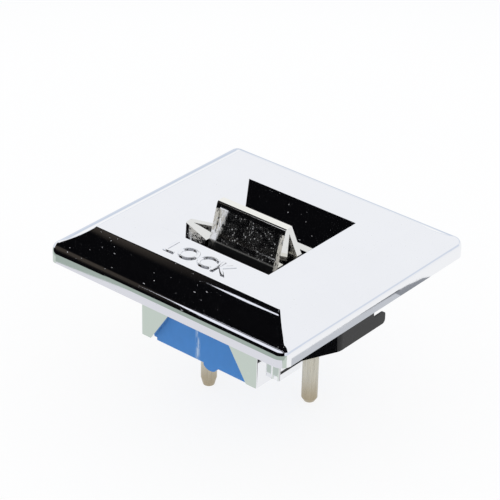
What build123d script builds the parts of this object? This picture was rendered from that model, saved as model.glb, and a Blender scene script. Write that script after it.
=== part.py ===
from build123d import *
import math
import os

os.makedirs("parts", exist_ok=True)

# A three-terminal power window switch: a chromed bezel with a rocker lever, and a moulded
# switch base held in its skirt.
#
# Frame, in millimetres: the origin is the centre of the bezel on the plane where its rim seats on
# the panel, +Z is up out of the panel, X is along the lever's hinge, and -Y is the marked side.

# ---- Bezel plate ----
PLATE_X = 57.15
PLATE_Y = 54.5
PLATE_HEIGHT = 6.88
LIP_HEIGHT = 1.65
LIP_RADIUS = 2.6
LIP_TURN = 30.0
ROLL_RADIUS = 1.7
COVE_LEAN = 17.0
COVE_RUN = 6.48
FLAT_EDGE_RADIUS = 0.3
PLATE_CORNER_RADIUS = 2.2
MITRE_RADIUS = 0.25
CORNER_FADE = 1.2
RIM_WIDTH = 2.2
HOLLOW_SIDE_Z = 2.4
HOLLOW_INSET = 0.5
HOLLOW_CORNER_RADIUS = 0.8
ROOF_WALL = 2.0

# ---- Opening that the lever works in ----
OPENING_X = 26.14
OPENING_Y = 25.6
THROAT_FRONT_Y = -7.0
THROAT_BACK_Y = 6.2
THROAT_Z = 2.3
THROAT_END_GAP = 0.4
SLOPE_WALL = 1.3
WELL_CORNER_RADIUS = 0.5
MOUTH_EDGE_RADIUS = 0.2

# ---- Skirt below the plate ----
SKIRT_WALL = 1.2
SKIRT_BOTTOM_Z = -15.13
SKIRT_SIDE_X = 15.85
SKIRT_STEP_Y = 12.3
SKIRT_END_X = 14.23
SKIRT_END_Y = 16.93
SKIRT_CORNER_RADIUS = 0.3

# ---- Cut-outs in the skirt ----
END_CUT_BOTTOM_HALF = 11.8
END_CUT_TOP_HALF = 6.2
END_CUT_TOP_Z = -6.6
WINDOW_HALF = 5.2
WINDOW_MOUTH_HALF = 6.0
WINDOW_MOUTH_RISE = 1.33
WINDOW_ROOM = 0.6
SLOT_RISE = 1.33
SLOT_HEIGHT = 0.65
SLOT_INSET = 0.4

# ---- Lever ----
RIDGE_Z = 9.95
RIDGE_FRONT_Y = -2.15
RIDGE_BACK_Y = -0.45
RIDGE_DROP = 0.15
KNOB_LENGTH = 16.6
FRONT_LEAN = 16.5
BACK_LEAN = 23.5
FRONT_FLARE_Z = 1.5
BACK_FLARE_Z = 3.7
WING_GAP = 1.8
FRONT_TIP_ANGLE = -13.0
BACK_TIP_ANGLE = 4.0
WING_THICKNESS = 1.0
LEVER_SIDE_GAP = 0.47
SHELF_Z = -0.6
LEVER_ROOF_Z = -1.5
RIDGE_FRONT_RADIUS = 0.45
SCOOP_DEPTH = 0.3
SCOOP_MARGIN = 0.9
SCOOP_LENGTH = 5.6
END_POCKET_DEPTH = 3.2
END_POCKET_APEX_Z = 8.6
END_POCKET_BACK_WALL = 1.25
END_POCKET_FRONT_RAKE = 5.0

# ---- Hinge ----
LEVER_TILT = 10.0
SWING_GAP = 0.68
HINGE_Z = -2.5
HINGE_PIN_RADIUS = 1.0
HINGE_PIN_GRIP = 3.2
HINGE_HUB_RADIUS = 2.3
HINGE_HUB_LENGTH = 4.0
RUNNING_CLEARANCE = 0.05
PRESS_CLEARANCE = 0.01

# ---- Switch base and cover ----
BASE_CLEARANCE = 0.15
SPRING_ROOM = 0.9
COVER_THICKNESS = 1.3
BASE_DROP = 1.07
PLINTH_HEIGHT = 0.75
PLINTH_INSET = 1.48
PLINTH_EDGE_RADIUS = 0.3
FLOOR_THICKNESS = 2.8
CAVITY_SIDE_WALL = 1.15
CAVITY_END_ROOM = 1.4
KEY_X = 1.9
KEY_HALF_WIDTH = 1.6
KEY_HEIGHT = 1.05
KEY_DEPTH = 1.6
LATCH_INSET = 4.7
LATCH_WIDTH = 3.6
LATCH_REACH = 0.7
LATCH_RISE = 2.13
LATCH_HEIGHT = 1.6
LATCH_GAP = 0.1
PLUNGER_SLOT_HALF_X = 2.0
PLUNGER_SLOT_HALF_Y = 3.3
RIVET_INSET_X = 3.38
RIVET_INSET_Y = 1.7
RIVET_RADIUS = 0.8
RIVET_HEAD_RADIUS = 1.4
RIVET_HEAD_HEIGHT = 0.6
RIVET_LENGTH = 6.0

# ---- Terminals and contacts ----
PIN_RADIUS = 1.5875
PIN_LENGTH = 12.4
PIN_SHANK_RADIUS = 1.75
OUTPUT_PIN_X = -6.75
OUTPUT_PIN_Y = 5.74
COMMON_PIN_INSET = 2.32
COMMON_PIN_Y = 2.87
OUTPUT_TIP_TAPER = 1.65
OUTPUT_TIP_RADIUS = 1.15
COMMON_TIP_TAPER = 0.8
COMMON_TIP_RADIUS = 1.1
PIN_STUD_RADIUS = 0.8
PIN_HEAD_RADIUS = 1.5
PIN_HEAD_HEIGHT = 0.4
STRIP_THICKNESS = 0.8
STRIP_MARGIN = 2.1
FIXED_CONTACT_Y = 6.3
FIXED_CONTACT_RADIUS = 1.5
FIXED_CONTACT_HEIGHT = 0.9
MOVING_CONTACT_RADIUS = 1.3
MOVING_CONTACT_HEIGHT = 0.7
CONTACT_GAP = 0.6

# ---- Contact rocker and its yoke ----
ROCKER_HALF_X = 2.4
ROCKER_HALF_Y = 8.2
ROCKER_THICKNESS = 0.7
VALLEY_HALF = 0.9
VALLEY_DEPTH = 0.4
RAMP_HALF = 3.0
RAMP_RISE = 0.7
RAMP_END = 4.3
TRUNNION_RADIUS = 0.6
YOKE_THICKNESS = 0.8
YOKE_GAP = 0.15
YOKE_HALF_Y = 1.5
YOKE_RISE = 0.9

# ---- Plunger and its spring ----
PLUNGER_RADIUS = 1.5
PLUNGER_TIP_RADIUS = 0.9
PLUNGER_TIP_GAP = 0.1
PLUNGER_TOP_Z = -3.6
BORE_TOP_Z = 1.3
PLUNGER_HUB_WALL = 0.8
PLUNGER_HUB_GAP = 0.6
SPRING_WIRE = 0.36
SPRING_RADIUS = 1.15
SPRING_TURNS = 6

# ---- Retaining springs on the skirt ----
LEAF_THICKNESS = 0.5
LEAF_RISE = 1.23
LEAF_HEIGHT = 5.3
LEAF_REACH = 3.15
LEAF_ROOT_INSET = 0.2
LEAF_ROOT_LENGTH = 2.9
LEAF_RAMP_LENGTH = 9.9
LEAF_END_INSET = 1.13
LEAF_BEND_RADIUS = 3.0
LEAF_TONGUE_LENGTH = 3.7
LEAF_TONGUE_HEIGHT = 2.6
LEAF_CORNER_RADIUS = 0.8
LEAF_CLEARANCE = 0.1
TAB_THICKNESS = 0.32
TAB_BITE = 0.7

# How many spans the moulding's lip, roll and cove are lofted in.
LIP_SPANS = 3
ROLL_SPANS = 4
COVE_SPANS = 6

# How far a cut runs past the faces that it breaks through, and past a thin wall's inner face.
OVERCUT = 5.0
BREAKTHROUGH = 0.5

# ---- What follows from those sizes ----
THROAT_X = KNOB_LENGTH + 2 * THROAT_END_GAP
WING_REACH = OPENING_Y / 2 - WING_GAP
SADDLE_HALF = OPENING_X / 2 - LEVER_SIDE_GAP
PLUNGER_HUB_RADIUS = PLUNGER_RADIUS + PLUNGER_HUB_WALL

SLOT_BOTTOM_Z = SKIRT_BOTTOM_Z + SLOT_RISE
SLOT_END_Y = SLOT_INSET - SKIRT_STEP_Y
LEAF_BOTTOM_Z = SKIRT_BOTTOM_Z + LEAF_RISE
LEAF_TOP_Z = LEAF_BOTTOM_Z + LEAF_HEIGHT
WINDOW_TOP_Z = LEAF_TOP_Z + WINDOW_ROOM
LEAF_ROOT_Y = LEAF_ROOT_INSET + SKIRT_WALL - SKIRT_STEP_Y
LEAF_BEND_Y = LEAF_ROOT_Y + LEAF_ROOT_LENGTH
LEAF_SPREAD_Y = LEAF_BEND_Y + LEAF_RAMP_LENGTH
LEAF_END_Y = SKIRT_END_Y - LEAF_END_INSET
LEAF_X = SKIRT_SIDE_X + LEAF_REACH - LEAF_THICKNESS / 2
LEAF_ROOT_X = SKIRT_SIDE_X - SKIRT_WALL - LEAF_THICKNESS / 2 - RUNNING_CLEARANCE

BASE_BOTTOM_Z = SKIRT_BOTTOM_Z - BASE_DROP
BASE_STEP_Z = BASE_BOTTOM_Z + PLINTH_HEIGHT
BASE_END_X = SKIRT_END_X - SKIRT_WALL - BASE_CLEARANCE
BASE_END_Y = SKIRT_END_Y - SKIRT_WALL - BASE_CLEARANCE
BASE_SIDE_X = SKIRT_SIDE_X - SKIRT_WALL - SPRING_ROOM
BASE_STEP_Y = SKIRT_STEP_Y - SKIRT_WALL - BASE_CLEARANCE
PLINTH_HALF_X = BASE_END_X - PLINTH_INSET
FLOOR_TOP_Z = BASE_BOTTOM_Z + FLOOR_THICKNESS
CAVITY_HALF_X = BASE_SIDE_X - CAVITY_SIDE_WALL
CAVITY_HALF_Y = ROCKER_HALF_Y + CAVITY_END_ROOM
LATCH_Y = SKIRT_STEP_Y - LATCH_INSET
LATCH_BOTTOM_Z = SKIRT_BOTTOM_Z + LATCH_RISE
RIVET_X = BASE_END_X - RIVET_INSET_X
RIVET_Y = CAVITY_HALF_Y + RIVET_INSET_Y

PIN_TIP_Z = BASE_BOTTOM_Z - PIN_LENGTH
COMMON_PIN_X = BASE_SIDE_X - COMMON_PIN_INSET
STRIP_TOP_Z = FLOOR_TOP_Z + STRIP_THICKNESS
FIXED_TOP_Z = STRIP_TOP_Z + FIXED_CONTACT_HEIGHT
MOVING_LOW_Z = FIXED_TOP_Z + CONTACT_GAP
ROCKER_LOW_Z = MOVING_LOW_Z + MOVING_CONTACT_HEIGHT
ROCKER_TOP_Z = ROCKER_LOW_Z + ROCKER_THICKNESS
VALLEY_Z = ROCKER_TOP_Z - VALLEY_DEPTH
PIVOT_Z = ROCKER_LOW_Z - VALLEY_DEPTH + ROCKER_THICKNESS / 2


def flank(side, ridge_y, lean, flare_z, tip_angle):
    """Where one flank of the knob starts to flare, and the centre and radius of its flare."""
    lean = math.radians(lean)
    tip = math.radians(tip_angle)
    start_y = ridge_y + side * math.tan(lean) * (RIDGE_Z - flare_z)
    radius = (WING_REACH - side * start_y) / (math.cos(lean) - math.sin(tip))
    centre = (start_y + side * radius * math.cos(lean), flare_z + radius * math.sin(lean))
    return (start_y, flare_z), centre, radius


def lowest_at_full_tilt(centre, radius):
    """How low the underside of a wing's tip comes when the lever is pushed right over."""
    under = radius + WING_THICKNESS
    tip_z = centre[1] - math.sqrt(under ** 2 - (abs(centre[0]) - WING_REACH) ** 2)
    tilt = math.radians(LEVER_TILT)
    return HINGE_Z + (tip_z - HINGE_Z) * math.cos(tilt) - WING_REACH * math.sin(tilt)


FRONT_START, FRONT_CENTRE, FRONT_FLARE = flank(
    -1, RIDGE_FRONT_Y, FRONT_LEAN, FRONT_FLARE_Z, FRONT_TIP_ANGLE)
BACK_START, BACK_CENTRE, BACK_FLARE = flank(
    1, RIDGE_BACK_Y, BACK_LEAN, BACK_FLARE_Z, BACK_TIP_ANGLE)
SHOULDER_Z = lowest_at_full_tilt(FRONT_CENTRE, FRONT_FLARE) - SWING_GAP
BASE_TOP_Z = SHOULDER_Z - COVER_THICKNESS
PLUNGER_HUB_BOTTOM_Z = SHOULDER_Z + PLUNGER_HUB_GAP


def block(x, y, z):
    """A box between two limits on each axis, each given as a (low, high) pair."""
    centre = ((x[0] + x[1]) / 2, (y[0] + y[1]) / 2, (z[0] + z[1]) / 2)
    return Pos(*centre) * Box(x[1] - x[0], y[1] - y[0], z[1] - z[0])


def rod(x, y, low, high, radius):
    """An upright cylinder from z = low to z = high."""
    return Pos(x, y, (low + high) / 2) * Cylinder(radius, high - low)


def cross_rod(low, high, y, z, radius):
    """A cylinder along X from x = low to x = high."""
    return Pos((low + high) / 2, y, z) * Rot(0, 90, 0) * Cylinder(radius, high - low)


def prism(sketch, low, high):
    """Extrude a plan drawn on XY between two heights."""
    return extrude(Pos(0, 0, low) * sketch, amount=high - low)


def along_x(sketch, half_length):
    """Extrude a side view, drawn as (y, z), to half_length on each side of x = 0."""
    return extrude(Plane.YZ * sketch, amount=half_length, both=True)


def along_y(sketch, half_length):
    """Extrude a front view, drawn as (x, z), to half_length on each side of y = 0."""
    return extrude(Plane.XZ * sketch, amount=half_length, both=True)


def cross_plan(side_x, step_y, end_x, end_y):
    """The plan of the skirt: a wide middle with a narrower block at each end."""
    return Rectangle(2 * side_x, 2 * step_y) + Rectangle(2 * end_x, 2 * end_y)


def both_sides(solid):
    """The solid and its mirror image across x = 0."""
    return [solid, mirror(solid, about=Plane.YZ)]


# ---- Bezel ----

def arc_points(centre, radius, start, end, spans):
    """Points along an arc, with angles in radians and each point an (inset, height) pair."""
    angles = [start + (end - start) * i / spans for i in range(spans + 1)]
    return [(centre[0] - radius * math.cos(a), centre[1] + radius * math.sin(a)) for a in angles]


def moulding_profiles():
    """The plate's edge above its lip: the lower roll, the upper roll and the cove, in that order."""
    turn = math.radians(LIP_TURN)
    lean = math.radians(COVE_LEAN)
    lip_centre = (LIP_RADIUS, LIP_HEIGHT)
    roll_centre = (LIP_RADIUS - (LIP_RADIUS - ROLL_RADIUS) * math.cos(turn),
                   LIP_HEIGHT + (LIP_RADIUS - ROLL_RADIUS) * math.sin(turn))
    lip = arc_points(lip_centre, LIP_RADIUS, 0, turn, LIP_SPANS)
    roll = arc_points(roll_centre, ROLL_RADIUS, turn, math.pi / 2 - lean, ROLL_SPANS)
    foot = roll[-1]
    run, rise = COVE_RUN - foot[0], PLATE_HEIGHT - foot[1]
    steepest = 2 * math.atan2(rise, run) - lean
    radius = run / (math.sin(steepest) - math.sin(lean))
    cove_centre = (foot[0] - radius * math.sin(lean), foot[1] + radius * math.cos(lean))
    cove = arc_points(cove_centre, radius, -math.pi / 2 - lean, -math.pi / 2 - steepest, COVE_SPANS)
    return lip, roll, cove


def plate_plan(inset, height):
    """The plate's outline at one height: its corners are round at the lip and mitred above it."""
    radius = MITRE_RADIUS + (PLATE_CORNER_RADIUS - MITRE_RADIUS) * math.exp(-inset / CORNER_FADE)
    return Pos(0, 0, height) * RectangleRounded(PLATE_X - 2 * inset, PLATE_Y - 2 * inset, radius)


def make_plate():
    """The moulded plate, solid, with its raised flat on top."""
    plate = prism(plate_plan(0, 0), 0, LIP_HEIGHT)
    for profile in moulding_profiles():
        plate += loft([plate_plan(inset, height) for inset, height in profile])
    flat = plate.faces().sort_by(Axis.Z)[-1]
    return fillet(flat.outer_wire().edges(), FLAT_EDGE_RADIUS)


def hollow_plan(inset, height):
    """The outline of the room under the plate at one height."""
    plan = RectangleRounded(PLATE_X - 2 * inset, PLATE_Y - 2 * inset, HOLLOW_CORNER_RADIUS)
    return Pos(0, 0, height) * plan


def plate_hollow():
    """The room under the plate, open below, with its shoulders sloping up under the cove."""
    side = hollow_plan(RIM_WIDTH, HOLLOW_SIDE_Z)
    roof = hollow_plan(COVE_RUN + HOLLOW_INSET, PLATE_HEIGHT - ROOF_WALL)
    return prism(hollow_plan(RIM_WIDTH, 0), -OVERCUT, HOLLOW_SIDE_Z) + loft([side, roof], ruled=True)


def throat_plan():
    """The narrow end of the opening, which lies nearer the front than the middle."""
    return Pos(0, (THROAT_FRONT_Y + THROAT_BACK_Y) / 2) * Rectangle(
        THROAT_X, THROAT_BACK_Y - THROAT_FRONT_Y)


def sloping_mouth(drop):
    """The space between the opening's four sloping sides, moved down by drop."""
    throat = Pos(0, 0, THROAT_Z - drop) * throat_plan()
    mouth = Pos(0, 0, PLATE_HEIGHT - drop) * Rectangle(OPENING_X, OPENING_Y)
    return loft([throat, mouth], ruled=True)


def lever_well():
    """The room under the sloping sides that the lever's saddle and wings work in."""
    plan = RectangleRounded(OPENING_X, OPENING_Y, WELL_CORNER_RADIUS)
    return prism(plan, SHOULDER_Z - OVERCUT, PLATE_HEIGHT - ROOF_WALL) - sloping_mouth(SLOPE_WALL)


def end_cut_section():
    """The sloping cut-out in each end wall of the skirt, wider at its mouth."""
    slope = (END_CUT_BOTTOM_HALF - END_CUT_TOP_HALF) / (END_CUT_TOP_Z - SKIRT_BOTTOM_Z)
    mouth = END_CUT_BOTTOM_HALF + slope * OVERCUT
    low = SKIRT_BOTTOM_Z - OVERCUT
    return make_face(Polyline(
        (-mouth, low), (mouth, low),
        (END_CUT_TOP_HALF, END_CUT_TOP_Z), (-END_CUT_TOP_HALF, END_CUT_TOP_Z), close=True))


def window_section():
    """The window in each side wall that a retaining spring passes through."""
    slope = (WINDOW_MOUTH_HALF - WINDOW_HALF) / WINDOW_MOUTH_RISE
    mouth = WINDOW_MOUTH_HALF + slope * OVERCUT
    low = SKIRT_BOTTOM_Z - OVERCUT
    high = SKIRT_BOTTOM_Z + WINDOW_MOUTH_RISE
    return make_face(Polyline(
        (-mouth, low), (mouth, low), (WINDOW_HALF, high), (WINDOW_HALF, WINDOW_TOP_Z),
        (-WINDOW_HALF, WINDOW_TOP_Z), (-WINDOW_HALF, high), close=True))


def spring_way():
    """What the right-hand spring needs cut from the side wall: its slot and its way out."""
    inner_x = SKIRT_SIDE_X - SKIRT_WALL
    slot = block((inner_x - BREAKTHROUGH, SKIRT_SIDE_X + OVERCUT), (SLOT_END_Y, -WINDOW_HALF),
                 (SLOT_BOTTOM_Z, SLOT_BOTTOM_Z + SLOT_HEIGHT))
    back_x = leaf_outer_x(LEAF_BEND_Y) + LEAF_CLEARANCE
    out_x = leaf_outer_x(-WINDOW_HALF) + LEAF_CLEARANCE
    bend_y = LEAF_BEND_Y - LEAF_CLEARANCE
    plan = make_face(Polyline(
        (inner_x - BREAKTHROUGH, bend_y), (back_x, bend_y), (out_x, -WINDOW_HALF),
        (inner_x - BREAKTHROUGH, -WINDOW_HALF), close=True))
    way = prism(plan, LEAF_BOTTOM_Z - LEAF_CLEARANCE, LEAF_TOP_Z + LEAF_CLEARANCE)
    return slot + way


def latch_hole():
    """The hole in the right side wall that a lug on the base snaps into."""
    half = LATCH_WIDTH / 2 + LATCH_GAP
    return block((SKIRT_SIDE_X - SKIRT_WALL - BREAKTHROUGH, SKIRT_SIDE_X + OVERCUT),
                 (LATCH_Y - half, LATCH_Y + half),
                 (LATCH_BOTTOM_Z - LATCH_GAP, LATCH_BOTTOM_Z + LATCH_HEIGHT + LATCH_GAP))


def make_bezel():
    skirt_plan = cross_plan(SKIRT_SIDE_X, SKIRT_STEP_Y, SKIRT_END_X, SKIRT_END_Y)
    skirt_plan = fillet(skirt_plan.vertices(), SKIRT_CORNER_RADIUS)
    skirt = prism(skirt_plan, SKIRT_BOTTOM_Z, PLATE_HEIGHT - ROOF_WALL / 2)
    bezel = make_plate() - plate_hollow() + skirt - lever_well() - sloping_mouth(0)
    rim = [e for e in bezel.edges().group_by(Axis.Z)[-1]
           if max(abs(e.center().X), abs(e.center().Y)) < (OPENING_X + OVERCUT) / 2]
    bezel = fillet(rim, MOUTH_EDGE_RADIUS)
    bezel -= prism(throat_plan(), SHOULDER_Z, THROAT_Z)
    pocket = cross_plan(SKIRT_SIDE_X - SKIRT_WALL, SKIRT_STEP_Y - SKIRT_WALL,
                        SKIRT_END_X - SKIRT_WALL, SKIRT_END_Y - SKIRT_WALL)
    bezel -= prism(pocket, SKIRT_BOTTOM_Z - OVERCUT, SHOULDER_Z)
    bezel -= along_y(end_cut_section(), PLATE_Y / 2)
    bezel -= along_x(window_section(), PLATE_X / 2)
    for cut in both_sides(spring_way()) + both_sides(latch_hole()):
        bezel -= cut
    bezel -= cross_rod(-PLATE_X / 2, PLATE_X / 2, 0, HINGE_Z, HINGE_PIN_RADIUS + PRESS_CLEARANCE)
    return bezel


# ---- Lever ----

def lever_section():
    """The lever's outer side view: a narrow ridge on two flanks that flare into wings."""
    low = BACK_CENTRE[1] - BACK_FLARE - WING_THICKNESS
    outline = make_face(Polyline(
        (RIDGE_FRONT_Y, RIDGE_Z - RIDGE_DROP), FRONT_START, (-WING_REACH, FRONT_START[1]),
        (-WING_REACH, low), (WING_REACH, low), (WING_REACH, BACK_START[1]), BACK_START,
        (RIDGE_BACK_Y, RIDGE_Z), close=True))
    outline -= Pos(*FRONT_CENTRE) * Circle(FRONT_FLARE)
    outline -= Pos(*BACK_CENTRE) * Circle(BACK_FLARE)
    return outline


def lever_hollow():
    """The room under the wings."""
    depth = OVERCUT - LEVER_ROOF_Z
    room = Pos(0, LEVER_ROOF_Z - depth / 2) * Rectangle(2 * WING_REACH + OVERCUT, depth)
    room -= Pos(*FRONT_CENTRE) * Circle(FRONT_FLARE + WING_THICKNESS)
    room -= Pos(*BACK_CENTRE) * Circle(BACK_FLARE + WING_THICKNESS)
    return room


def end_pocket_section():
    """The cored pocket in each end of the knob: its back runs one wall inside the back flank."""
    lean = math.tan(math.radians(BACK_LEAN))
    rake = math.tan(math.radians(END_POCKET_FRONT_RAKE))
    apex_y = RIDGE_BACK_Y + lean * (RIDGE_Z - END_POCKET_APEX_Z) - END_POCKET_BACK_WALL
    low = SHELF_Z + WING_THICKNESS
    depth = END_POCKET_APEX_Z - low
    return make_face(Polyline(
        (apex_y - rake * depth, low), (apex_y + lean * depth, low), (apex_y, END_POCKET_APEX_Z),
        close=True))


def scoop_cut():
    """The shallow finger scoop in the front face of the knob."""
    lean = math.radians(FRONT_LEAN)
    half = SCOOP_LENGTH / 2
    radius = (half ** 2 + SCOOP_DEPTH ** 2) / (2 * SCOOP_DEPTH)
    middle = SCOOP_MARGIN + half
    y = RIDGE_FRONT_Y - middle * math.sin(lean) - (radius - SCOOP_DEPTH) * math.cos(lean)
    z = RIDGE_Z - middle * math.cos(lean) + (radius - SCOOP_DEPTH) * math.sin(lean)
    reach = KNOB_LENGTH / 2 - SCOOP_MARGIN
    return cross_rod(-reach, reach, y, z, radius)


def make_lever():
    knob = along_x(lever_section(), KNOB_LENGTH / 2)
    ridge = knob.edges().filter_by(Axis.X).sort_by(Axis.Z)[-2:].sort_by(Axis.Y)
    knob = fillet(ridge[0], RIDGE_FRONT_RADIUS)
    knob -= scoop_cut()
    shelf = Pos(0, SHELF_Z - PLATE_Y / 2) * Rectangle(PLATE_Y, PLATE_Y)
    lever = knob + along_x(lever_section() & shelf, SADDLE_HALF)
    lever -= along_x(lever_hollow(), PLATE_X / 2)
    hub_start = SADDLE_HALF - HINGE_HUB_LENGTH
    for hub in both_sides(cross_rod(hub_start, SADDLE_HALF, 0, HINGE_Z, HINGE_HUB_RADIUS)):
        lever += hub
    lever += rod(0, 0, PLUNGER_HUB_BOTTOM_Z, SHELF_Z, PLUNGER_HUB_RADIUS)
    lever -= rod(0, 0, PLUNGER_HUB_BOTTOM_Z - OVERCUT, BORE_TOP_Z, PLUNGER_RADIUS + RUNNING_CLEARANCE)
    hole = HINGE_PIN_RADIUS + RUNNING_CLEARANCE
    for bore in both_sides(cross_rod(hub_start - RUNNING_CLEARANCE, PLATE_X / 2, 0, HINGE_Z, hole)):
        lever -= bore
    pocket = extrude(Plane.YZ.offset(KNOB_LENGTH / 2) * end_pocket_section(),
                     amount=END_POCKET_DEPTH, both=True)
    for cut in both_sides(pocket):
        lever -= cut
    return lever


def make_hinge_pin():
    """The right-hand hinge pin, pressed into the skirt and flush with its outside."""
    return cross_rod(SADDLE_HALF - HINGE_PIN_GRIP, SKIRT_SIDE_X, 0, HINGE_Z, HINGE_PIN_RADIUS)


# ---- Base and cover ----

TERMINALS = {
    "front": (OUTPUT_PIN_X, -OUTPUT_PIN_Y, OUTPUT_TIP_TAPER, OUTPUT_TIP_RADIUS),
    "rear": (OUTPUT_PIN_X, OUTPUT_PIN_Y, OUTPUT_TIP_TAPER, OUTPUT_TIP_RADIUS),
    "common": (COMMON_PIN_X, COMMON_PIN_Y, COMMON_TIP_TAPER, COMMON_TIP_RADIUS),
}


def base_plan():
    return cross_plan(BASE_SIDE_X, BASE_STEP_Y, BASE_END_X, BASE_END_Y)


def rivet_places():
    return [(x, y) for x in (-RIVET_X, RIVET_X) for y in (-RIVET_Y, RIVET_Y)]


def latch_lug():
    """The wedge on the base's right side, flat below, that hangs the base in the skirt."""
    lug = Plane.XZ.offset(-LATCH_Y) * make_face(Polyline(
        (BASE_SIDE_X, LATCH_BOTTOM_Z), (BASE_SIDE_X + SPRING_ROOM + LATCH_REACH, LATCH_BOTTOM_Z),
        (BASE_SIDE_X, LATCH_BOTTOM_Z + LATCH_HEIGHT), close=True))
    return extrude(lug, amount=LATCH_WIDTH / 2, both=True)


def make_base():
    plinth = prism(Rectangle(2 * PLINTH_HALF_X, 2 * BASE_END_Y), BASE_BOTTOM_Z, BASE_STEP_Z)
    plinth = fillet(plinth.edges().group_by(Axis.Z)[0], PLINTH_EDGE_RADIUS)
    key = Plane.XZ.offset(BASE_END_Y) * Pos(KEY_X, BASE_BOTTOM_Z) * Ellipse(KEY_HALF_WIDTH, KEY_HEIGHT)
    base = prism(base_plan(), BASE_STEP_Z, BASE_TOP_Z) + plinth + extrude(key, amount=-KEY_DEPTH)
    for lug in both_sides(latch_lug()):
        base += lug
    for slot in both_sides(tab_block(LEAF_CLEARANCE)):
        base -= slot
    base -= block((-CAVITY_HALF_X, CAVITY_HALF_X), (-CAVITY_HALF_Y, CAVITY_HALF_Y),
                  (FLOOR_TOP_Z, BASE_TOP_Z + OVERCUT))
    for x, y, _, _ in TERMINALS.values():
        base -= rod(x, y, BASE_BOTTOM_Z - OVERCUT, FLOOR_TOP_Z + OVERCUT, PIN_SHANK_RADIUS + PRESS_CLEARANCE)
    for x, y in rivet_places():
        base -= rod(x, y, SHOULDER_Z - RIVET_LENGTH, BASE_TOP_Z + OVERCUT, RIVET_RADIUS + PRESS_CLEARANCE)
    return base


def make_cover():
    cover = prism(base_plan(), BASE_TOP_Z, SHOULDER_Z)
    cover -= prism(Rectangle(2 * PLUNGER_SLOT_HALF_X, 2 * PLUNGER_SLOT_HALF_Y), BASE_TOP_Z, SHOULDER_Z)
    for x, y in rivet_places():
        cover -= rivet(x, y, PRESS_CLEARANCE)
    return cover


def rivet(x, y, clearance=0.0):
    """A flush-headed drive rivet, or the hole for one."""
    top = SHOULDER_Z
    shank = rod(x, y, top - RIVET_LENGTH, top, RIVET_RADIUS + clearance)
    head = Pos(x, y, top - RIVET_HEAD_HEIGHT / 2) * Cone(
        RIVET_RADIUS + clearance, RIVET_HEAD_RADIUS + clearance, RIVET_HEAD_HEIGHT)
    return shank + head


def make_rivets():
    return Compound(children=[rivet(x, y) for x, y in rivet_places()])


# ---- Terminals and contacts ----

def terminal_pin(x, y, taper, tip_radius):
    """A round terminal: tapered tip, thicker shank in the base, stud riveted over its strip."""
    pin = rod(x, y, PIN_TIP_Z + taper, BASE_BOTTOM_Z, PIN_RADIUS)
    pin += rod(x, y, BASE_BOTTOM_Z, FLOOR_TOP_Z, PIN_SHANK_RADIUS)
    pin += Pos(x, y, PIN_TIP_Z + taper / 2) * Cone(tip_radius, PIN_RADIUS, taper)
    pin += rod(x, y, FLOOR_TOP_Z, STRIP_TOP_Z, PIN_STUD_RADIUS)
    pin += rod(x, y, STRIP_TOP_Z, STRIP_TOP_Z + PIN_HEAD_HEIGHT, PIN_HEAD_RADIUS)
    return pin


def stud_hole(x, y):
    return rod(x, y, FLOOR_TOP_Z - OVERCUT, STRIP_TOP_Z + OVERCUT, PIN_STUD_RADIUS + PRESS_CLEARANCE)


def contact_strip(side):
    """The strip from an output pin to its fixed contact: side is -1 at the front, 1 at the rear."""
    low = min(OUTPUT_PIN_Y, FIXED_CONTACT_Y) - STRIP_MARGIN
    high = max(OUTPUT_PIN_Y, FIXED_CONTACT_Y) + STRIP_MARGIN
    strip = block((OUTPUT_PIN_X - STRIP_MARGIN, STRIP_MARGIN), sorted((side * low, side * high)),
                  (FLOOR_TOP_Z, STRIP_TOP_Z))
    return strip - stud_hole(OUTPUT_PIN_X, side * OUTPUT_PIN_Y)


def make_common_strip():
    """The feed strip, with a yoke of two ears that the contact rocker rocks in."""
    ear_in = ROCKER_HALF_X + YOKE_GAP
    ear_out = ear_in + YOKE_THICKNESS
    end_x = CAVITY_HALF_X - RUNNING_CLEARANCE
    strip = block((-ear_out, end_x), (-YOKE_HALF_Y, YOKE_HALF_Y), (FLOOR_TOP_Z, STRIP_TOP_Z))
    strip += block((COMMON_PIN_X - STRIP_MARGIN, end_x), (-YOKE_HALF_Y, COMMON_PIN_Y + STRIP_MARGIN),
                   (FLOOR_TOP_Z, STRIP_TOP_Z))
    strip -= stud_hole(COMMON_PIN_X, COMMON_PIN_Y)
    notch = TRUNNION_RADIUS + RUNNING_CLEARANCE
    for side in (-1, 1):
        x = sorted((side * ear_in, side * ear_out))
        ear = block(x, (-YOKE_HALF_Y, YOKE_HALF_Y), (STRIP_TOP_Z, PIVOT_Z + YOKE_RISE))
        ear -= cross_rod(x[0], x[1], 0, PIVOT_Z, notch)
        ear -= block(x, (-notch, notch), (PIVOT_Z, PIVOT_Z + YOKE_RISE))
        strip += ear
    return strip


def make_fixed_contact(side):
    return rod(0, side * FIXED_CONTACT_Y, STRIP_TOP_Z, FIXED_TOP_Z, FIXED_CONTACT_RADIUS)


def make_moving_contact(side):
    return rod(0, side * FIXED_CONTACT_Y, MOVING_LOW_Z, ROCKER_LOW_Z, MOVING_CONTACT_RADIUS)


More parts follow.
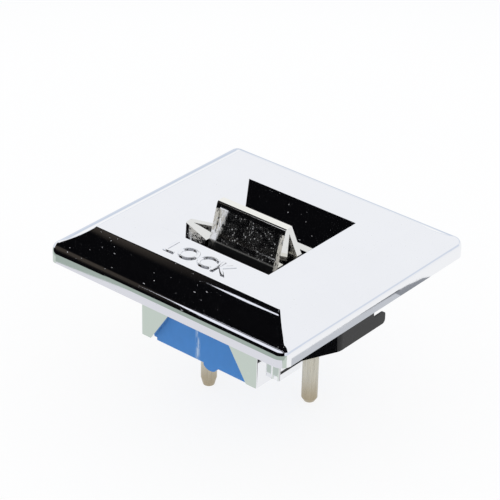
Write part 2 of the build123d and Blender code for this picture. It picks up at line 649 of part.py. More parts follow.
def make_contact_rocker():
    """A formed copper see-saw: a valley for the plunger, a ramp each side, and flat ends."""
    top = [
        (0, VALLEY_Z), (VALLEY_HALF, VALLEY_Z), (RAMP_HALF, ROCKER_TOP_Z + RAMP_RISE),
        (RAMP_END, ROCKER_TOP_Z), (ROCKER_HALF_Y, ROCKER_TOP_Z),
    ]
    bottom = [(y, z - ROCKER_THICKNESS) for y, z in reversed(top)]
    half = make_face(Polyline(*top, *bottom, close=True))
    rocker = along_x(half + mirror(half, about=Plane.YZ), ROCKER_HALF_X)
    tab_end = ROCKER_HALF_X + YOKE_GAP + YOKE_THICKNESS
    rocker += cross_rod(-tab_end, tab_end, 0, PIVOT_Z, TRUNNION_RADIUS)
    above = block((-tab_end, tab_end), (-VALLEY_HALF, VALLEY_HALF), (VALLEY_Z, VALLEY_Z + OVERCUT))
    return rocker - above


# ---- Plunger ----

def make_plunger():
    """The sprung plunger that drives the contact rocker from inside the lever."""
    tip_z = VALLEY_Z + PLUNGER_TIP_GAP
    shoulder = tip_z + PLUNGER_RADIUS + PLUNGER_TIP_RADIUS
    plunger = rod(0, 0, shoulder, PLUNGER_TOP_Z, PLUNGER_RADIUS)
    plunger += Pos(0, 0, (shoulder + tip_z + PLUNGER_TIP_RADIUS) / 2) * Cone(
        PLUNGER_TIP_RADIUS, PLUNGER_RADIUS, shoulder - tip_z - PLUNGER_TIP_RADIUS)
    plunger += Pos(0, 0, tip_z + PLUNGER_TIP_RADIUS) * Sphere(PLUNGER_TIP_RADIUS)
    return plunger


def make_plunger_spring():
    low = PLUNGER_TOP_Z + SPRING_WIRE / 2
    height = BORE_TOP_Z - SPRING_WIRE / 2 - low
    coil = Pos(0, 0, low) * Helix(height / SPRING_TURNS, height, SPRING_RADIUS)
    section = Plane(origin=coil @ 0, z_dir=coil % 0) * Circle(SPRING_WIRE / 2)
    return sweep(section, path=coil)


# ---- Retaining springs ----

def leaf_outer_x(y):
    """The x of the leaf's outer face on its sloping part."""
    slope = (LEAF_X - LEAF_ROOT_X) / (LEAF_SPREAD_Y - LEAF_BEND_Y)
    return LEAF_ROOT_X + slope * (y - LEAF_BEND_Y) + LEAF_THICKNESS / 2 * math.hypot(1, slope)


def tab_block(clearance=0.0):
    """The spring's inner tab, which carries the base, or the slot for it in the base."""
    low = SLOT_BOTTOM_Z + (SLOT_HEIGHT - TAB_THICKNESS) / 2
    return block((BASE_SIDE_X - TAB_BITE - clearance, LEAF_ROOT_X),
                 (LEAF_ROOT_Y - clearance, LEAF_BEND_Y + clearance),
                 (low - clearance, low + TAB_THICKNESS + clearance))


def make_retaining_spring():
    """The right-hand spring: rooted inside the skirt, out through the window, then along it."""
    middle = (LEAF_BOTTOM_Z + LEAF_TOP_Z) / 2
    path = FilletPolyline(
        (LEAF_ROOT_X, LEAF_ROOT_Y, middle), (LEAF_ROOT_X, LEAF_BEND_Y, middle),
        (LEAF_X, LEAF_SPREAD_Y, middle), (LEAF_X, LEAF_END_Y, middle), radius=LEAF_BEND_RADIUS)
    start = Plane(origin=path @ 0, x_dir=(1, 0, 0), z_dir=path % 0)
    leaf = sweep(start * Rectangle(LEAF_THICKNESS, LEAF_TOP_Z - LEAF_BOTTOM_Z), path=path)
    tongue_top = LEAF_BOTTOM_Z + LEAF_TONGUE_HEIGHT
    leaf -= block((LEAF_X - OVERCUT, LEAF_X + OVERCUT),
                  (LEAF_END_Y - LEAF_TONGUE_LENGTH, LEAF_END_Y + OVERCUT),
                  (tongue_top, LEAF_TOP_Z + OVERCUT))
    corners = leaf.edges().filter_by(Axis.X).group_by(Axis.Y)[-1]
    leaf = fillet(corners, LEAF_CORNER_RADIUS)
    tab_x = SKIRT_SIDE_X - RUNNING_CLEARANCE
    hook_x = SKIRT_SIDE_X - SKIRT_WALL + LEAF_CLEARANCE
    hook_y = SLOT_END_Y + LEAF_CLEARANCE
    tab_end = -WINDOW_HALF - LEAF_CLEARANCE
    tab = make_face(Polyline(
        (LEAF_ROOT_X, LEAF_ROOT_Y), (hook_x, LEAF_ROOT_Y), (hook_x, hook_y), (tab_x, hook_y),
        (tab_x, tab_end), (LEAF_ROOT_X, tab_end), close=True))
    tab_z = SLOT_BOTTOM_Z + (SLOT_HEIGHT - TAB_THICKNESS) / 2
    return leaf + prism(tab, tab_z, tab_z + TAB_THICKNESS) + tab_block()


# ---- Pieces ----

def pieces():
    yield "bezel", make_bezel()
    yield "rocker_lever", make_lever()
    pins = both_sides(make_hinge_pin())
    yield "hinge_pin_right", pins[0]
    yield "hinge_pin_left", pins[1]
    yield "switch_base", make_base()
    yield "base_cover", make_cover()
    yield "cover_rivets", make_rivets()
    for name, place in TERMINALS.items():
        yield "terminal_pin_" + name, terminal_pin(*place)
    for name, side in (("front", -1), ("rear", 1)):
        yield "contact_strip_" + name, contact_strip(side)
        yield "fixed_contact_" + name, make_fixed_contact(side)
        yield "moving_contact_" + name, make_moving_contact(side)
    yield "common_strip", make_common_strip()
    yield "contact_rocker", make_contact_rocker()
    yield "plunger", make_plunger()
    yield "plunger_spring", make_plunger_spring()
    springs = both_sides(make_retaining_spring())
    yield "retaining_spring_right", springs[0]
    yield "retaining_spring_left", springs[1]


for node, solid in pieces():
    export_step(solid, "parts/" + node + ".step")
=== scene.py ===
"""Looks for a panel-mounted power window switch: plated and moulded finishes, the raised word
beside the opening, a wound plunger spring, and the studio it stands in."""

import math

import bmesh
import bpy
from mathutils import Matrix, Vector


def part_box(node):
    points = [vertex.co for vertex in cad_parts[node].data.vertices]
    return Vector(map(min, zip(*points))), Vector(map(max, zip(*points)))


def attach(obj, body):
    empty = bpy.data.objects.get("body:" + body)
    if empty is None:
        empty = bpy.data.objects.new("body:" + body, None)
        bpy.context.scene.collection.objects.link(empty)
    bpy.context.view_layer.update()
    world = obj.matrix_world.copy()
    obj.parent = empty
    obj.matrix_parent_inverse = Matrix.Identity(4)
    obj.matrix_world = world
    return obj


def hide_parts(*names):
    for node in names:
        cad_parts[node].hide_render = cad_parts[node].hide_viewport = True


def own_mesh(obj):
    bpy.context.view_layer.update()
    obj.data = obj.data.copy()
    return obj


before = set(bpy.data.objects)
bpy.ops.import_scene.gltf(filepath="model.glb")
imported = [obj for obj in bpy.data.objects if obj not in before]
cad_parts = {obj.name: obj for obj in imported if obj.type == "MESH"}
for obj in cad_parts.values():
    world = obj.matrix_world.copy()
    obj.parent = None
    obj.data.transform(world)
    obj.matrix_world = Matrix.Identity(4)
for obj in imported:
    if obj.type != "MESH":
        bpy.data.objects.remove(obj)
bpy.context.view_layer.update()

bl_info = {
    "name": "Power window switch finishes",
    "version": (1, 0, 0),
    "blender": (4, 5, 0),
    "location": "View3D > Sidebar > Window switch",
    "description": "Finishes, lettering, spring and studio for a panel-mounted window switch",
    "category": "Object",
}

MM = 0.001
MICRON = 0.000001

HOUSING = "housing"
LEVER = "lever"


def linear(code):
    """An sRGB hex colour as the linear values that Blender mixes."""
    parts = [int(code[i:i + 2], 16) / 255 for i in (1, 3, 5)]
    return [p / 12.92 if p <= 0.04045 else ((p + 0.055) / 1.055) ** 2.4 for p in parts]


def opaque(colour, share=1.0):
    """A colour, or a share of its brightness, as a socket takes it."""
    return (*[part * share for part in colour], 1.0)


# ---- Sizes and colours that a user would change ----

SPRING_LOW, SPRING_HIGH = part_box("plunger_spring")
FLAT_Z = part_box("bezel")[1].z
PIN_TIP_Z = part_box("terminal_pin_front")[0].z
BASE_FRONT_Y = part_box("switch_base")[0].y


class SWITCH_PG_lettering(bpy.types.PropertyGroup):
    """The raised word beside the opening."""

    word: bpy.props.StringProperty(
        name="Word", description="Plain function word", default="LOCK")
    size: bpy.props.FloatProperty(
        name="Letter size", description="Type size; capitals are about 0.73 of it",
        default=5.6 * MM, unit="LENGTH")
    baseline: bpy.props.FloatProperty(
        name="Baseline", description="Where the letters stand, along Y",
        default=-18.7 * MM, unit="LENGTH")
    bead: bpy.props.FloatProperty(
        name="Bead radius", description="Radius of the raised bead that draws each letter",
        default=0.24 * MM, unit="LENGTH")
    inset: bpy.props.FloatProperty(
        name="Bead inset", description="How far the beads run inside the outline of the type",
        default=0.14 * MM, unit="LENGTH")


class SWITCH_PG_spring(bpy.types.PropertyGroup):
    """The compression spring behind the plunger."""

    wire: bpy.props.FloatProperty(
        name="Wire radius", description="Radius of the wire", default=0.16 * MM, unit="LENGTH")
    turns: bpy.props.IntProperty(
        name="Turns", description="Whole turns of the coil", default=7, min=2)
    shortening: bpy.props.FloatProperty(
        name="Shortening", description="Length left at full plunger travel, as a share",
        default=0.837, subtype="FACTOR", min=0.1, max=1.0)


class SWITCH_PG_finish(bpy.types.PropertyGroup):
    """Colours of the finishes."""

    chrome: bpy.props.FloatVectorProperty(
        name="Bezel chrome", description="Bright chromium plate", subtype="COLOR",
        default=linear("#F1F2F5"))
    lever: bpy.props.FloatVectorProperty(
        name="Lever chrome", description="Worn chromium plate, a little warm", subtype="COLOR",
        default=linear("#F0EFE9"))
    nylon: bpy.props.FloatVectorProperty(
        name="Base nylon", description="Moulded blue nylon", subtype="COLOR",
        default=linear("#3685D2"))
    nickel: bpy.props.FloatVectorProperty(
        name="Terminal nickel", description="Nickel plate on brass", subtype="COLOR",
        default=linear("#C9C5B8"))
    black: bpy.props.FloatVectorProperty(
        name="Retaining spring black", description="Oiled black oxide on spring steel",
        subtype="COLOR", default=linear("#070708"))


class SWITCH_PG_stage(bpy.types.PropertyGroup):
    """Camera, floor and hood."""

    azimuth: bpy.props.FloatProperty(
        name="Azimuth", description="Turn of the camera from looking along +Y",
        default=math.radians(39.40), subtype="ANGLE")
    elevation: bpy.props.FloatProperty(
        name="Elevation", description="Camera height above the horizon",
        default=math.radians(30.01), subtype="ANGLE")
    roll: bpy.props.FloatProperty(
        name="Roll", description="Tilt of the camera about its own line of sight",
        default=math.radians(1.42), subtype="ANGLE")
    distance: bpy.props.FloatProperty(
        name="Distance", description="From the camera to its target", default=412.6 * MM,
        unit="LENGTH")
    target: bpy.props.FloatVectorProperty(
        name="Target", description="Point at the centre of the frame",
        default=(-1.53 * MM, -0.46 * MM, 1.07 * MM), subtype="TRANSLATION")
    lens: bpy.props.FloatProperty(
        name="Lens", description="Focal length on a 36 mm sensor, in mm", default=157.7)
    floor: bpy.props.FloatProperty(
        name="Floor", description="Height of the floor", default=PIN_TIP_Z, unit="LENGTH")
    hood_radius: bpy.props.FloatProperty(
        name="Hood radius", description="Radius of the black hood over the near side",
        default=450 * MM, unit="LENGTH")
    hood_edge: bpy.props.FloatProperty(
        name="Hood edge", description="Where the hood ends past the zenith, from +Y",
        default=math.radians(61), subtype="ANGLE")
    apron_end: bpy.props.FloatProperty(
        name="Apron end", description="How near the hood's apron comes to the switch, along Y",
        default=-380 * MM, unit="LENGTH")


# ---- Materials ----

# Nodes that the finishes use often, as their kind and their settings.
TIMES = ("ShaderNodeMath", {"operation": "MULTIPLY"})
LARGER = ("ShaderNodeMath", {"operation": "MAXIMUM"})
EASE = ("ShaderNodeMapRange", {"interpolation_type": "SMOOTHSTEP"})
BLEND = ("ShaderNodeMix", {"data_type": "RGBA"})
# The sockets of a colour blend, whose names its other types share.
SHARE, UNDER, OVER = 0, 6, 7

# Noise lies mostly within the first span, and its stronger streaks within the second.
NOISE_SPAN = (0.3, 0.7)
STREAK_SPAN = (0.35, 0.75)
FADE = (1.0, 0.0)

# Chrome. Grain and ripple sizes, and the spacing and size of specks, are in mm. What marks, and
# on the lever painted highlight and painted shade, do is eased from none to full: they take most
# of the metal's look away, and dull it.
CASTING_RIPPLE = (7, 7, 7)
DULLED = (0.0, 1.0, 1.0, 0.2)
MARK_ROUGHNESS = 0.5

# The bezel's dust, and how much larger and leaner its lint is. Both crowd together in patches,
# given as a span of noise and the share of the marks that shows at its two ends.
BEZEL_HAZE = 0.035
BEZEL_POLISH = (0.5, 0.5, 0.5)
BEZEL_CLOUDS = (9, 9, 9)
BEZEL_DUST = (0.95, 0.24)
LINT_SCALE = 2.6
LINT_LEAN = (1.0, 0.25, 0.6)
BEZEL_PATCHES = (6, 6, 6)
BEZEL_CROWD = (0.4, 0.62, 0.1, 0.75)

# The lever's marks, crowded in the same way, over an even haze.
LEVER_POLISH = 0.06
LEVER_PITS = (0.42, 0.32)
LEVER_SCRATCHES = (0.8, 0.42, (0.3, 1.0, 2.2))
LEVER_DUST = (1.7, 0.45)
LEVER_HAZE = 0.11
LEVER_PATCHES = (2.4, 2.4, 1.6)
LEVER_CROWD = (0.38, 0.6, 0.12, 0.85)
LEVER_STREAKS = (0.25, 0.25, 2.6)
LEVER_STREAK_SPAN = (0.3, 0.66)
LEVER_HIGHLIGHT_SPAN = (0.05, 0.6)
# Where the lever is marked, and where highlight and shade are painted on it. Its front is found
# by its normals, which point towards -Y.
LEVER_FRONT = (-0.8, -0.5)
LEVER_TOP_EDGE = (8.55 * MM, 8.8 * MM)
LEVER_LEFT_PATCH = (-8.3 * MM, -4.2 * MM)
LEVER_PATCH_RISE = (0.5 * MM, 8.2 * MM, 0.12, 1.0)
LEVER_RIGHT_EDGE = (7.1 * MM, 7.7 * MM)
LEVER_ROOT = (2.3 * MM, 2.9 * MM)

# The painted highlight on the base's front: how far left of the middle, where it fades
# sideways and behind the face, and how it is broken up.
BASE_HIGHLIGHT_LEFT = 1.15 * MM
BASE_HIGHLIGHT_SIDE = (0.05 * MM, 0.8 * MM, 0.75, 0.0)
BASE_HIGHLIGHT_DEPTH = (BASE_FRONT_Y + 0.1 * MM, BASE_FRONT_Y + 0.6 * MM)
BASE_HIGHLIGHT_BREAKS = (0.35, 0.35, 1.6)
BASE_HIGHLIGHT_BREAK_SPAN = (0.38, 0.66)
# The nickel is thin from the tip of a pin upwards.
PIN_WEAR = (PIN_TIP_Z + 0.5 * MM, PIN_TIP_Z + 7 * MM, 0.75, 0.0)


def socket(source):
    """An output as it is, or the first output that a node has in use."""
    if isinstance(source, bpy.types.Node):
        return next(output for output in source.outputs if output.enabled)
    return source


def add(tree, kind, settings=None, inputs=()):
    """Add one node: its settings by name, and its inputs in order, or by name or number. Each is
    a value, another node's output, or a node, which stands for its first output in use."""
    made = tree.nodes.new(kind)
    for name, value in (settings or {}).items():
        setattr(made, name, value)
    for name, value in inputs.items() if isinstance(inputs, dict) else enumerate(inputs):
        value = socket(value)
        if isinstance(value, bpy.types.NodeSocket):
            tree.links.new(value, made.inputs[name])
        else:
            made.inputs[name].default_value = value
    return made


def blank(holder):
    """The emptied node tree of a new material or world."""
    holder.use_nodes = True
    holder.node_tree.nodes.clear()
    return holder.node_tree


def start(name, **same_all_over):
    """A new material with its shader, whose constant values sit on the shader's own sockets."""
    material = bpy.data.materials.new(name)
    tree = blank(material)
    shader = add(tree, "ShaderNodeBsdfPrincipled",
                 inputs={key.replace("_", " "): value for key, value in same_all_over.items()})
    add(tree, "ShaderNodeOutputMaterial", inputs={"Surface": shader})
    place = add(tree, "ShaderNodeTexCoord").outputs["Object"]
    return material, tree, shader, place


def drive(tree, shader, height, depth, **patterns):
    """Link patterns to the shader's inputs, and raise its surface by height, depth metres at
    most."""
    patterns["Normal"] = add(tree, "ShaderNodeBump", inputs={
        "Height": height, "Strength": 1.0, "Distance": depth})
    for name, source in patterns.items():
        tree.links.new(socket(source), shader.inputs[name.replace("_", " ")])


def grain(tree, place, stretch, detail=3.0):
    """Noise from 0 to 1 whose grain is stretch millimetres long along x, y and z."""
    scaled = add(tree, "ShaderNodeVectorMath", {"operation": "MULTIPLY"},
                 (place, [1 / (length * MM) for length in stretch]))
    return add(tree, "ShaderNodeTexNoise", inputs={
        "Vector": scaled, "Scale": 1.0, "Detail": detail, "Roughness": 0.55})


def specks(tree, place, spacing, size, lean=(1.0, 1.0, 1.0)):
    """Scattered specks up to size millimetres across, about spacing millimetres apart, and
    stretched by lean along x, y and z. Real dust is finer: it is drawn as coarse as it needs to
    show."""
    scaled = add(tree, "ShaderNodeVectorMath", {"operation": "MULTIPLY"},
                 (place, [1 / (spacing * MM * share) for share in lean]))
    cells = add(tree, "ShaderNodeTexVoronoi", inputs={
        "Vector": scaled, "Scale": 1.0, "Randomness": 1.0})
    own = add(tree, "ShaderNodeSeparateColor", inputs={"Color": cells.outputs["Color"]})
    radius = size / spacing / 2
    reach = add(tree, *TIMES, (own.outputs["Red"], radius))
    inside = add(tree, "ShaderNodeMath", {"operation": "SUBTRACT"},
                 (reach, cells.outputs["Distance"]))
    return add(tree, *EASE, (inside, 0.0, radius / 4))


def grained(name, light, dark, rough, stretch, depth, sharpened=None, **same_all_over):
    """A finish whose one grain mixes two colours, sets how rough it is and raises it. The grain
    is sharpened between two levels before it mixes the colours, where they are given."""
    material, tree, shader, place = start(name, **same_all_over)
    lines = grain(tree, place, stretch)
    share = add(tree, *EASE, (lines, *sharpened)) if sharpened else lines
    shades = add(tree, *BLEND, {SHARE: share, UNDER: opaque(light), OVER: opaque(dark)})
    drive(tree, shader, lines, depth, Base_Color=shades,
          Roughness=add(tree, *EASE, (lines, *NOISE_SPAN, *rough)))
    return material


def bright_chrome(colour):
    """Chromium plate over nickel on polished die-cast zinc. It mirrors the room sharply, with
    the slow ripple of the polished casting under it, and dust, lint and pin holes that show as
    pale specks wherever it mirrors something dark."""
    material, tree, shader, place = start("Bright chrome on die-cast bezel")
    dust = specks(tree, place, *BEZEL_DUST)
    lint = specks(tree, place, *(part * LINT_SCALE for part in BEZEL_DUST), LINT_LEAN)
    crowd = add(tree, *EASE, (grain(tree, place, BEZEL_PATCHES), *BEZEL_CROWD))
    marks = add(tree, *TIMES, (add(tree, *LARGER, (dust, lint)), crowd))
    # The plate is a little duller where it is thin, which gives the flat its faint clouds.
    clouded = add(tree, *BLEND, {
        SHARE: grain(tree, place, BEZEL_CLOUDS), UNDER: opaque(colour),
        OVER: opaque(colour, 0.965)})
    spotted = add(tree, *BLEND, {
        SHARE: marks, UNDER: clouded, OVER: opaque(linear("#F2F3F5"))})
    polish = add(tree, *EASE, (
        grain(tree, place, BEZEL_POLISH), 0.3, 0.8, BEZEL_HAZE * 0.7, BEZEL_HAZE * 1.3))
    matt = add(tree, *EASE, (marks, 0.0, 1.0, 0.0, MARK_ROUGHNESS))
    drive(tree, shader, grain(tree, place, CASTING_RIPPLE, 1.0), 3 * MICRON, Base_Color=spotted,
          Metallic=add(tree, *EASE, (marks, *DULLED)),
          Roughness=add(tree, *LARGER, (polish, matt)))
    return material


def chrome_with_wear_and_painted_light(colour):
    """Chromium plate that fingers have scuffed. Grit has left its front full of fine pin holes
    and scratches that show pale over the black it mirrors, the front's ends carry a painted
    highlight in pale streaks, and painted shade darkens its root down in the opening."""
    material, tree, shader, place = start("Worn chrome with painted light on die-cast lever")
    axes = add(tree, "ShaderNodeSeparateXYZ", inputs={"Vector": place}).outputs
    facing = add(tree, "ShaderNodeSeparateXYZ", inputs={
        "Vector": add(tree, "ShaderNodeTexCoord").outputs["Normal"]}).outputs
    front = add(tree, *EASE, (facing["Y"], *LEVER_FRONT, *FADE))
    below = add(tree, *EASE, (axes["Z"], *LEVER_TOP_EDGE, *FADE))
    where = add(tree, *TIMES, (front, below))

    # The fine marks crowd together in cloudy patches over a slight haze, and stop under the
    # rounded top edge. The dust lies all over.
    pits = specks(tree, place, *LEVER_PITS)
    scratches = specks(tree, place, *LEVER_SCRATCHES)
    dust = specks(tree, place, *LEVER_DUST)
    crowd = add(tree, *EASE, (grain(tree, place, LEVER_PATCHES), *LEVER_CROWD))
    fine = add(tree, *LARGER, (add(tree, *LARGER, (pits, scratches)), LEVER_HAZE))
    fine = add(tree, *TIMES, (fine, crowd))
    marks = add(tree, *TIMES, (add(tree, *LARGER, (fine, dust)), where))

    # The painted highlight's left patch widens upwards, and the right edge carries painted
    # highlight from top to bottom.
    reach = add(tree, *EASE, (axes["Z"], *LEVER_PATCH_RISE))
    patch = add(tree, *EASE, (axes["X"], *LEVER_LEFT_PATCH, *FADE))
    right = add(tree, *EASE, (axes["X"], *LEVER_RIGHT_EDGE))
    ends = add(tree, *LARGER, (add(tree, *TIMES, (reach, patch)), right))
    ends = add(tree, *TIMES, (ends, where))
    streaks = add(tree, *EASE, (grain(tree, place, LEVER_STREAKS), *LEVER_STREAK_SPAN))
    painted_highlight = add(tree, *EASE, (add(tree, *TIMES, (ends, streaks)), *LEVER_HIGHLIGHT_SPAN))

    # Painted shade: the front below the root height, down in the opening, is darkened nearly to
    # black.
    root = add(tree, *EASE, (axes["Z"], *LEVER_ROOT, *FADE))
    root = add(tree, *TIMES, (root, front))
    spotted = add(tree, *BLEND, {
        SHARE: marks, UNDER: opaque(colour), OVER: opaque(linear("#CFCFD0"))})
    root_painted_shade = add(tree, *BLEND, {
        SHARE: root, UNDER: spotted, OVER: opaque(linear("#0B0B0D"))})
    # Painted highlight: the ends of the front turn pale cream in streaks.
    highlighted = add(tree, *BLEND, {
        SHARE: painted_highlight, UNDER: root_painted_shade, OVER: opaque(linear("#EDE8DC"))})
    # Marks, painted highlight and painted shade all take the metal's look away and dull it.
    overlaid = add(tree, *LARGER, (add(tree, *LARGER, (marks, painted_highlight)), root))
    drive(tree, shader, grain(tree, place, CASTING_RIPPLE, 1.0), 5 * MICRON,
          Base_Color=highlighted, Metallic=add(tree, *EASE, (overlaid, *DULLED)),
          Roughness=add(tree, *EASE, (overlaid, 0.0, 1.0, LEVER_POLISH, MARK_ROUGHNESS)))
    return material


def moulded_nylon(colour):
    """Glass-filled nylon, injection moulded. The steel of the mould leaves it satin, the fibres
    make it faintly mottled, and a painted highlight runs as a pale streak down its front."""
    material, tree, shader, place = start("Moulded blue nylon", IOR=1.53)
    mottle = grain(tree, place, (1.4, 1.4, 3.0))
    mottled = add(tree, *BLEND, {
        SHARE: mottle, UNDER: opaque(colour), OVER: opaque(colour, 0.88)})
    # The painted highlight is a narrow upright band just left of the middle of the front face.
    axes = add(tree, "ShaderNodeSeparateXYZ", inputs={"Vector": place}).outputs
    off = add(tree, "ShaderNodeMath", {"operation": "ADD"}, (axes["X"], BASE_HIGHLIGHT_LEFT))
    away = add(tree, "ShaderNodeMath", {"operation": "ABSOLUTE"}, (off,))
    band = add(tree, *EASE, (away, *BASE_HIGHLIGHT_SIDE))
    front = add(tree, *EASE, (axes["Y"], *BASE_HIGHLIGHT_DEPTH, *FADE))
    broken = add(tree, *EASE, (grain(tree, place, BASE_HIGHLIGHT_BREAKS), *BASE_HIGHLIGHT_BREAK_SPAN))
    painted_highlight_band = add(tree, *TIMES, (add(tree, *TIMES, (band, front)), broken))
    # Painted highlight: a pale upright streak over the mottled blue of the front face.
    overlaid = add(tree, *BLEND, {
        SHARE: painted_highlight_band, UNDER: mottled, OVER: opaque(linear("#C9DBEE"))})
    drive(tree, shader, grain(tree, place, (0.3, 0.3, 0.3)), 6 * MICRON, Base_Color=overlaid,
          Roughness=add(tree, *EASE, (mottle, *NOISE_SPAN, 0.3, 0.42)))
    return material


def drawn_metal(name, light, dark, rough, stretch, depth):
    """Metal drawn, rolled or turned to shape: a mirror blurred by fine lines along its length,
    duller and darker where the lines are deep."""
    return grained(name, linear(light), linear(dark), (rough * 0.8, rough * 1.25), stretch, depth,
                   STREAK_SPAN, Metallic=1.0)


def nickelled_pin(colour):
    """Nickel plate on a turned brass pin: warm grey and satin, with fine lengthwise scuffs, and
    browner towards the tip, where plugging has thinned the nickel."""
    material, tree, shader, place = start("Nickel plate on brass", Metallic=1.0)
    scuffs = grain(tree, place, (0.25, 0.25, 5.0))
    plate = add(tree, *BLEND, {
        SHARE: add(tree, *EASE, (scuffs, *STREAK_SPAN)), UNDER: opaque(colour),
        OVER: opaque(colour, 0.82)})
    height = add(tree, "ShaderNodeSeparateXYZ", inputs={"Vector": place}).outputs["Z"]
    overlaid = add(tree, *BLEND, {
        SHARE: add(tree, *EASE, (height, *PIN_WEAR)), UNDER: plate,
        OVER: opaque(linear("#A39478"))})
    drive(tree, shader, scuffs, 4 * MICRON, Base_Color=overlaid,
          Roughness=add(tree, *EASE, (scuffs, *NOISE_SPAN, 0.22, 0.36)))
    return material


def black_oxide(colour):
    """Oiled black oxide on blanked spring steel: nearly black, with a low even sheen from the
    oil and a faint grain along the strip."""
    return grained("Black oxide on spring steel", colour, linear("#101013"), (0.08, 0.15),
                   (0.4, 4.0, 0.4), 1 * MICRON, IOR=1.36)


def phenolic_board():
    """Punched phenolic paper board: brown, resin-glossed on its faces, flecked by the paper."""
    return grained("Phenolic paper board", linear("#7A4E2C"), linear("#54331C"), (0.35, 0.55),
                   (0.5, 1.5, 0.12), 8 * MICRON, IOR=1.6)


def moulded_acetal():
    """Natural acetal, injection moulded: milky off-white that light enters a little way."""
    return grained("Natural acetal", linear("#EFEDE2"), linear("#DEDACB"), (0.28, 0.4),
                   (0.8, 0.8, 1.6), 4 * MICRON, IOR=1.48, Subsurface_Weight=0.15,
                   Subsurface_Scale=0.5 * MM)


def finish(material, *names):
    """Give CAD nodes their finish through their own slots."""
    for name in names:
        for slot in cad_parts[name].material_slots:
            slot.material = material


def as_object(shape, name, material):
    """Turn a finished bmesh into an object at the origin."""
    mesh = bpy.data.meshes.new(name)
    shape.to_mesh(mesh)
    shape.free()
    mesh.materials.append(material)
    made = bpy.data.objects.new(name, mesh)
    bpy.context.collection.objects.link(made)
    return made


def settle(shape, name, material, body):
    """Turn a finished bmesh into a piece that rides on a body."""
    piece = as_object(shape, name, material)
    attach(piece, body)
    return piece


# ---- Pieces ----

BEAD_STEPS = 3
CURVE_STEPS = 6
WELD = 2 * MICRON
WIRE_SIDES = 12
STEPS_IN_A_TURN = 24


class SWITCH_OT_bezel(bpy.types.Operator):
    """Plate the bezel casting with bright chrome"""

    bl_idname = "switch.bezel"
    bl_label = "Bezel"

    def execute(self, context):
        finish(bright_chrome(context.scene.switch_finish.chrome), "bezel")
        return {"FINISHED"}


class SWITCH_OT_lettering(bpy.types.Operator):
    """Raise the function word beside the opening as thin beads on the flat"""

    bl_idname = "switch.lettering"
    bl_label = "Raised lettering"

    def execute(self, context):
        settings = context.scene.switch_lettering
        type_ = bpy.data.curves.new("lettering", "FONT")
        type_.body = settings.word
        type_.size = settings.size
        type_.align_x = "CENTER"
        type_.fill_mode = "NONE"
        type_.bevel_depth = settings.bead
        type_.offset = -settings.inset
        type_.bevel_resolution = BEAD_STEPS
        type_.resolution_u = CURVE_STEPS
        carrier = bpy.data.objects.new("lettering_type", type_)
        context.collection.objects.link(carrier)
        solid = carrier.evaluated_get(context.evaluated_depsgraph_get())
        mesh = bpy.data.meshes.new_from_object(solid)
        if not mesh.vertices:
            raise RuntimeError("the word made no mesh")
        bpy.data.objects.remove(carrier)
        shape = bmesh.new()
        shape.from_mesh(mesh)
        bmesh.ops.remove_doubles(shape, verts=shape.verts, dist=WELD)
        place = Vector((0, settings.baseline, FLAT_Z))
        bmesh.ops.translate(shape, verts=shape.verts, vec=place)
        bmesh.ops.recalc_face_normals(shape, faces=shape.faces)
        for face in shape.faces:
            face.smooth = True
        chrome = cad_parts["bezel"].material_slots[0].material
        settle(shape, "lettering", chrome, HOUSING)
        return {"FINISHED"}


class SWITCH_OT_lever(bpy.types.Operator):
    """Plate the rocker lever with chrome that handling has pitted and scratched, with painted
    highlights and painted shade
    """

    bl_idname = "switch.lever"
    bl_label = "Rocker lever"

    def execute(self, context):
        finish(chrome_with_wear_and_painted_light(context.scene.switch_finish.lever), "rocker_lever")
        ground = drawn_metal("Ground steel", "#B9BBBE", "#8F9194", 0.24, (2.0, 0.2, 0.2),
                             2 * MICRON)
        finish(ground, "hinge_pin_right", "hinge_pin_left")
        return {"FINISHED"}


class SWITCH_OT_base(bpy.types.Operator):
    """Finish the moulded base, its cover board and the rivets"""

    bl_idname = "switch.base"
    bl_label = "Base and cover"

    def execute(self, context):
        finish(moulded_nylon(context.scene.switch_finish.nylon), "switch_base")
        finish(phenolic_board(), "base_cover")
        zinc = drawn_metal("Zinc plate on steel rivets", "#B6BABD", "#8D9195", 0.38,
                           (0.6, 0.6, 0.6), 3 * MICRON)
        finish(zinc, "cover_rivets")
        return {"FINISHED"}


class SWITCH_OT_terminals(bpy.types.Operator):
    """Finish the three round terminal pins"""

    bl_idname = "switch.terminals"
    bl_label = "Terminal pins"

    def execute(self, context):
        finish(nickelled_pin(context.scene.switch_finish.nickel),
               "terminal_pin_front", "terminal_pin_rear", "terminal_pin_common")
        return {"FINISHED"}


class SWITCH_OT_contacts(bpy.types.Operator):
    """Finish the brass strips, silver contacts and copper contact rocker"""

    bl_idname = "switch.contacts"
    bl_label = "Contacts"

    def execute(self, context):
        brass = drawn_metal("Rolled brass strip", "#D2AE62", "#A98443", 0.3, (3.0, 0.3, 0.3),
                            3 * MICRON)
        finish(brass, "contact_strip_front", "contact_strip_rear", "common_strip")
        silver = drawn_metal("Silver contact face", "#E6E5E0", "#BDBBB4", 0.2,
                             (0.4, 0.4, 0.4), 2 * MICRON)
        finish(silver, "fixed_contact_front", "fixed_contact_rear",
               "moving_contact_front", "moving_contact_rear")
        copper = drawn_metal("Rolled copper", "#C98A66", "#97583B", 0.32, (0.3, 3.0, 0.3),
                             3 * MICRON)
        finish(copper, "contact_rocker")
        return {"FINISHED"}


